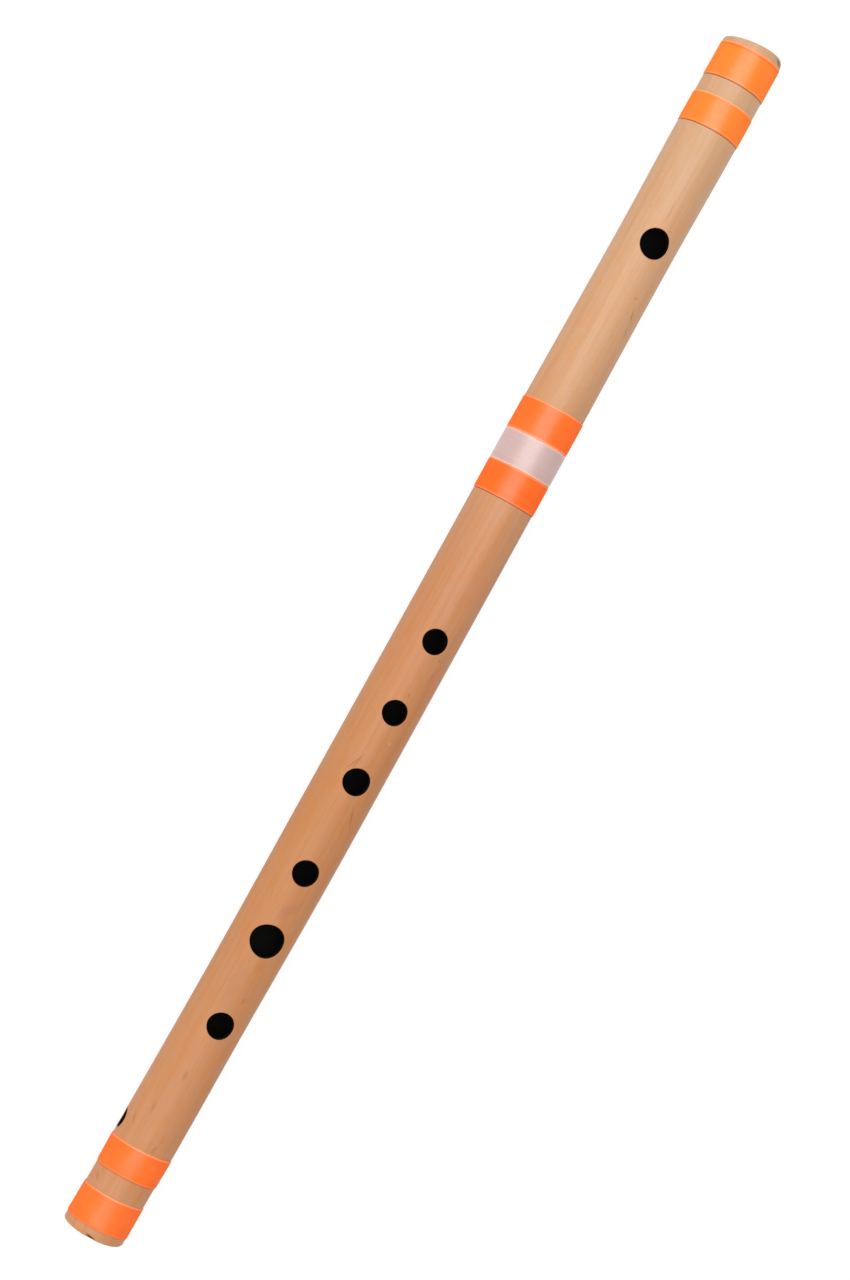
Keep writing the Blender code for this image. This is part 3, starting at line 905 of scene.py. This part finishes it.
def cork_outline(share):
    """Distance from the face and radius at a share of the way from the face's middle to the other's."""
    if share < CORK_FACE_SHARE:
        out = share / CORK_FACE_SHARE
        return 0.0, CORK_RADIUS * share / CORK_FACE_SHARE - CORK_ROUND * out ** 4
    if share > 1 - CORK_FACE_SHARE:
        back, radius = cork_outline(1 - share)
        return CORK_LENGTH - back, radius
    along = (share - CORK_FACE_SHARE) / (1 - 2 * CORK_FACE_SHARE) * CORK_LENGTH
    into = max(0.0, CORK_ROUND - min(along, CORK_LENGTH - along)) / CORK_ROUND
    return along, CORK_RADIUS - CORK_ROUND * into ** 2


def cork_finish():
    """Natural cork: pale grains with dark pores between them."""
    cork = Finish("natural_cork", 0.85)
    grains = cork.add("ShaderNodeTexVoronoi", {"feature": "F1"}, Vector=cork.place, Scale=900.0)
    from_grain = cork.between(grains.outputs["Distance"], 0.1, 0.8)
    body = cork.tint(from_grain, colour(196, 148, 98), colour(168, 118, 72))
    pores = cork.grain((260, 420, 420), 3.0, 0.6)
    cork.set(Base_Color=cork.tint(cork.between(pores, 0.60, 0.70, 0.0, 0.85), body, colour(84, 50, 28)))
    cork.raised(pores, 0.5, 0.0002)
    return cork.material


cork_points = []
cork_sides = []
cork_loops = []
for row in range(1, CORK_ROWS):
    along, radius = cork_outline(row / CORK_ROWS)
    loop = []
    for k in range(CORK_COLUMNS):
        turn = math.tau * k / CORK_COLUMNS
        across = radius * math.sin(turn)
        up = radius * math.cos(turn)
        point = Vector((cork_low.x + along, BORE_Y + across, BORE_Z + up))
        pit = max(0.0, noise.noise(point * PORES) - 0.25) * PORE_DEPTH
        loop.append(len(cork_points))
        cork_points.append(point + (CORK_MIDDLE - point).normalized() * pit)
    cork_loops.append((loop, 0))
join_loops(cork_loops, cork_sides)
for face, finish in (cork_loops[0], cork_loops[-1]):
    cork_sides.append((tuple(face), finish))
cork = solid_piece("cork", cork_points, cork_sides, (cork_finish(),))
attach(cork, "stopper")
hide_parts("stopper_cork")


# Floor
# A wide sheet of pale paper that the flute lies on. It looks white, and keeps a faint shadow of the
# flute, which fades out further away.
FLOOR_HALF = 4.0
PAPER_GREY = 0.8
PAPER_GLOW = 1.05
SHADOW_SHARE = 0.14
SHADOW_KEPT_TO = 0.7
SHADOW_GONE_BY = 1.6
floor_mesh = bpy.data.meshes.new("floor")
floor_mesh.from_pydata([(-FLOOR_HALF, -FLOOR_HALF, 0), (FLOOR_HALF, -FLOOR_HALF, 0),
                        (FLOOR_HALF, FLOOR_HALF, 0), (-FLOOR_HALF, FLOOR_HALF, 0)], [], [(0, 1, 2, 3)])
floor = bpy.data.objects.new("floor", floor_mesh)
bpy.context.scene.collection.objects.link(floor)


def seen_rays(tree):
    """1 for camera, glossy and transmission rays, which see the white background."""
    rays = tree.nodes.new("ShaderNodeLightPath")
    seen = rays.outputs["Is Camera Ray"]
    for name in ("Is Glossy Ray", "Is Transmission Ray"):
        either = tree.nodes.new("ShaderNodeMath")
        either.operation = "MAXIMUM"
        tree.links.new(seen, either.inputs[0])
        tree.links.new(rays.outputs[name], either.inputs[1])
        seen = either.outputs[0]
    return seen


def paper_finish():
    """White to the eye, with a share of its own shaded surface let through near the flute."""
    paper = Finish("white_paper", 0.9)
    paper.set(Base_Color=(PAPER_GREY, PAPER_GREY, PAPER_GREY, 1))
    away = paper.add("ShaderNodeVectorMath", {"operation": "LENGTH"}, Vector=paper.place)
    shadowed = paper.between(away.outputs[1], SHADOW_KEPT_TO, SHADOW_GONE_BY, SHADOW_SHARE, 0.0)
    share = paper.times(seen_rays(paper.tree), paper.minus(1.0, shadowed))
    glow = paper.add("ShaderNodeEmission", None, Strength=PAPER_GLOW)
    blend = paper.add("ShaderNodeMixShader")
    paper.give(blend.inputs[0], share)
    paper.give(blend.inputs[1], paper.surface.outputs[0])
    paper.give(blend.inputs[2], glow.outputs[0])
    paper.give(paper.tree.nodes["Material Output"].inputs["Surface"], blend.outputs[0])
    return paper.material


floor_mesh.materials.append(paper_finish())


# Light
# A bright white room with soft boxes: a large one overhead that gives the form, one in its place that
# gives only the long highlight, a weak one at the side of the extra hole, and a small one at the head.
ROOM_LIGHT = 0.59
WHITE = (1, 1, 1, 1)
world = bpy.data.worlds.new("white_room")
bpy.context.scene.world = world
world.use_nodes = True
room = world.node_tree
room_light = room.nodes["Background"]
room_light.inputs["Strength"].default_value = ROOM_LIGHT
room_light.inputs["Color"].default_value = WHITE
room_seen = room.nodes.new("ShaderNodeBackground")
room_seen.inputs["Color"].default_value = WHITE
room_blend = room.nodes.new("ShaderNodeMixShader")
room.links.new(seen_rays(room), room_blend.inputs[0])
room.links.new(room_light.outputs[0], room_blend.inputs[1])
room.links.new(room_seen.outputs[0], room_blend.inputs[2])
room.links.new(room_blend.outputs[0], room.nodes["World Output"].inputs["Surface"])

MIDDLE = Vector((0.0003, BORE_Y, BORE_Z))
ALONG_FLUTE = Vector((1, 0, 0))
TO_CAMERA = Vector((0, math.sin(VIEWED_TURN), math.cos(VIEWED_TURN)))
OVERHEAD = MIDDLE + TO_CAMERA * 1.25 + Vector((0.16, -0.03, 0))


def soft_box(name, place, way, length, width, power):
    """A rectangular lamp that shines at the flute's middle, with its length running that way."""
    lamp = bpy.data.lights.new(name, "AREA")
    lamp.shape = "RECTANGLE"
    lamp.size = length
    lamp.size_y = width
    lamp.energy = power
    box = bpy.data.objects.new(name, lamp)
    bpy.context.scene.collection.objects.link(box)
    back = (place - MIDDLE).normalized()
    across = back.cross(way).normalized()
    turned = Matrix((across.cross(back), across, back)).transposed().to_4x4()
    box.matrix_world = Matrix.Translation(place) @ turned
    return box


soft_box("overhead_soft_box", OVERHEAD, Vector((1, 0.1, 0)), 1.2, 1.0, 9.6)
gloss_box = soft_box("gloss_soft_box", OVERHEAD, Vector((1, 0.2, 0)), 1.2, 1.35, 13.5)
gloss_box.visible_diffuse = False
side_box = soft_box("side_soft_box", Vector((-0.2, 0.86, 0.58)), ALONG_FLUTE, 0.55, 0.4, 1.75)
side_box.visible_glossy = False
soft_box("head_soft_box", Vector((0.55, 0.88, 1.1)), ALONG_FLUTE, 0.35, 0.3, 1.5)


# Camera
# Almost straight above the flute, tipped towards the side hole, with the flute running from the
# lower left to the upper right of an upright picture.
CAMERA_DISTANCE = 0.944
FLUTE_RISE = math.radians(60.86)
lens = bpy.data.cameras.new("camera")
lens.lens = 75
lens.sensor_width = 36
camera = bpy.data.objects.new("camera", lens)
bpy.context.scene.collection.objects.link(camera)
across_flute = TO_CAMERA.cross(ALONG_FLUTE)
right = ALONG_FLUTE * math.cos(FLUTE_RISE) - across_flute * math.sin(FLUTE_RISE)
upward = ALONG_FLUTE * math.sin(FLUTE_RISE) + across_flute * math.cos(FLUTE_RISE)
facing = Matrix((right, upward, TO_CAMERA)).transposed().to_4x4()
camera.matrix_world = Matrix.Translation(MIDDLE + TO_CAMERA * CAMERA_DISTANCE) @ facing
bpy.context.scene.camera = camera
bpy.context.scene.view_settings.view_transform = "Standard"
